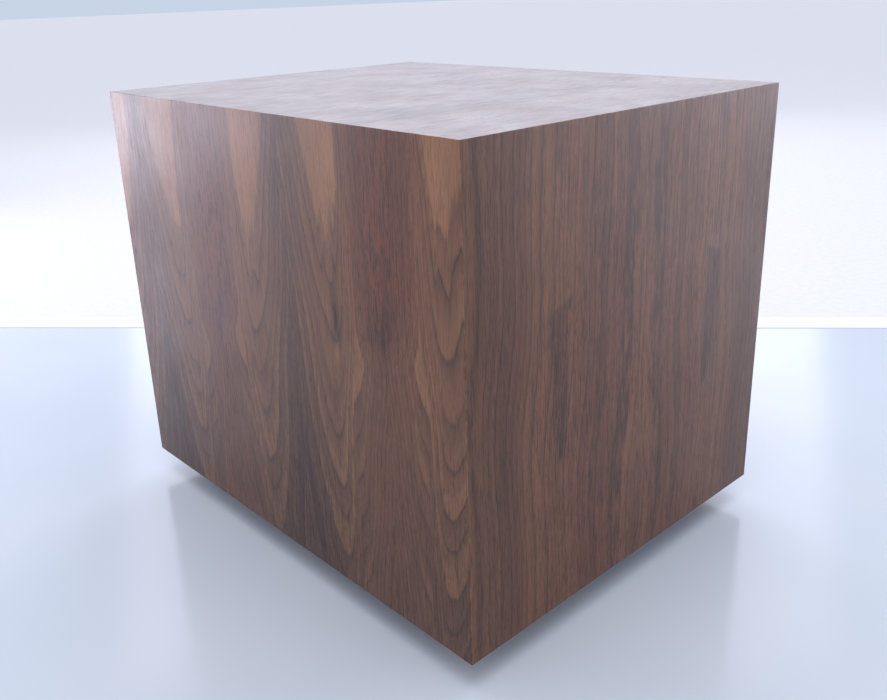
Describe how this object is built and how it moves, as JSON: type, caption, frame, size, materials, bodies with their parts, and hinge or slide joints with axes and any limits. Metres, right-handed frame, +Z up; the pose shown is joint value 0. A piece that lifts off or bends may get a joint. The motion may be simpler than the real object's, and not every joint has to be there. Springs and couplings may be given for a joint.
{
  "type": "subwoofer cabinet",
  "caption": "Down-firing powered subwoofer in a sharp-edged walnut-veneered box on recessed feet, with a rear amplifier panel.",
  "frame": {"origin": "on the floor, at the centre of the whole footprint, with what stands out behind the cabinet counted in", "axes": "+X to the right seen from the front, +Y towards the amplifier panel at the rear, +Z up"},
  "size_m": [0.556, 0.458, 0.469],
  "materials": {
    "mdf": "raw board",
    "black_mdf": "black matt lacquer",
    "walnut_crown": "clear satin lacquer",
    "walnut_straight": "clear satin lacquer",
    "beech": "planed",
    "wadding": "white polyester felt",
    "foot_black": "fine texture",
    "rubber": "moulded",
    "black_screw": "black oxide",
    "brass": "turned",
    "cast_frame": "black powder coat",
    "foam": "closed-cell foam",
    "cone_paper": "pressed fibre",
    "coil": "former with copper winding",
    "spider_cloth": "resin-dipped cotton",
    "plated_steel": "zinc plated",
    "ferrite": "ground ferrite",
    "terminal_black": "moulded",
    "copper_braid": "braid",
    "wire": "insulated wire",
    "black_anodised": "black anodised",
    "board_green": "solder resist",
    "can": "sleeved can",
    "transformer_wrap": "polyester film",
    "knob_black": "satin moulded",
    "nickel": "nickel plated",
    "switch_black": "moulded",
    "light_lens": "clear blue"
  },
  "bodies": {
    "cabinet": {"front_panel": "mdf", "front_veneer": "walnut_crown", "rear_panel": "mdf", "rear_veneer": "walnut_crown", "left_panel": "mdf", "left_veneer": "walnut_straight", "right_panel": "mdf", "right_veneer": "walnut_straight", "top_panel": "mdf", "top_veneer": "walnut_straight", "bottom_baffle": "black_mdf", "window_brace_left": "mdf", "window_brace_right": "mdf", "corner_cleats": "beech", "wadding": "wadding", "foot_front_left": "foot_black", "foot_front_right": "foot_black", "foot_rear_left": "foot_black", "foot_rear_right": "foot_black", "foot_pads": "rubber", "foot_screws": "black_screw", "threaded_inserts": "brass", "driver_basket": "cast_frame", "driver_gasket": "foam", "driver_screws": "black_screw", "surround": "rubber", "spider": "spider_cloth", "magnet_top_plate": "plated_steel", "magnet_ring": "ferrite", "magnet_yoke": "plated_steel", "driver_terminals": "terminal_black", "tinsel_leads": "copper_braid", "driver_wires": "wire", "amp_plate": "black_anodised", "amp_gasket": "foam", "amp_tub": "plated_steel", "plate_screws": "black_screw", "tub_screws": "black_screw", "heat_sink": "black_anodised", "amp_board": "board_green", "capacitors": "can", "transformer": "transformer_wrap", "transformer_clamp": "plated_steel", "pot_bodies": "plated_steel", "toggle_switch_body": "nickel", "rocker_frame": "switch_black", "mains_inlet": "switch_black", "inlet_pins": "nickel", "line_sockets": "nickel", "status_light": "light_lens"},
    "cone_assembly": {"cone": "cone_paper", "dust_cap": "cone_paper", "voice_coil": "coil"},
    "level_control": {"level_knob": "knob_black", "level_shaft": "plated_steel"},
    "crossover_control": {"crossover_knob": "knob_black", "crossover_shaft": "plated_steel"},
    "phase_control": {"phase_toggle": "nickel"},
    "mains_control": {"mains_rocker": "switch_black"},
    "fuse_carrier": {"fuse_drawer": "switch_black"}
  },
  "joints": [
    {"name": "cone_travel", "type": "slide", "parent": "cabinet", "child": "cone_assembly", "axis": [0, 0, -1], "range_m": [-0.012, 0.012], "stiffness_N_per_m": 3000, "deforming": ["surround", "spider", "tinsel_leads"]},
    {"name": "level_turn", "type": "hinge", "parent": "cabinet", "child": "level_control", "pos_m": [0.078, 0.211, 0.237], "axis": [0, -1, 0], "range_deg": [-150, 150]},
    {"name": "crossover_turn", "type": "hinge", "parent": "cabinet", "child": "crossover_control", "pos_m": [0.02, 0.211, 0.237], "axis": [0, -1, 0], "range_deg": [-150, 150]},
    {"name": "phase_throw", "type": "hinge", "parent": "cabinet", "child": "phase_control", "pos_m": [-0.036, 0.2146, 0.237], "axis": [1, 0, 0], "range_deg": [0, 24]},
    {"name": "mains_rock", "type": "hinge", "parent": "cabinet", "child": "mains_control", "pos_m": [-0.086, 0.2116, 0.165], "axis": [1, 0, 0], "range_deg": [0, 20]},
    {"name": "fuse_slide", "type": "slide", "parent": "cabinet", "child": "fuse_carrier", "axis": [0, 1, 0], "range_m": [0, 0.022]}
  ]
}
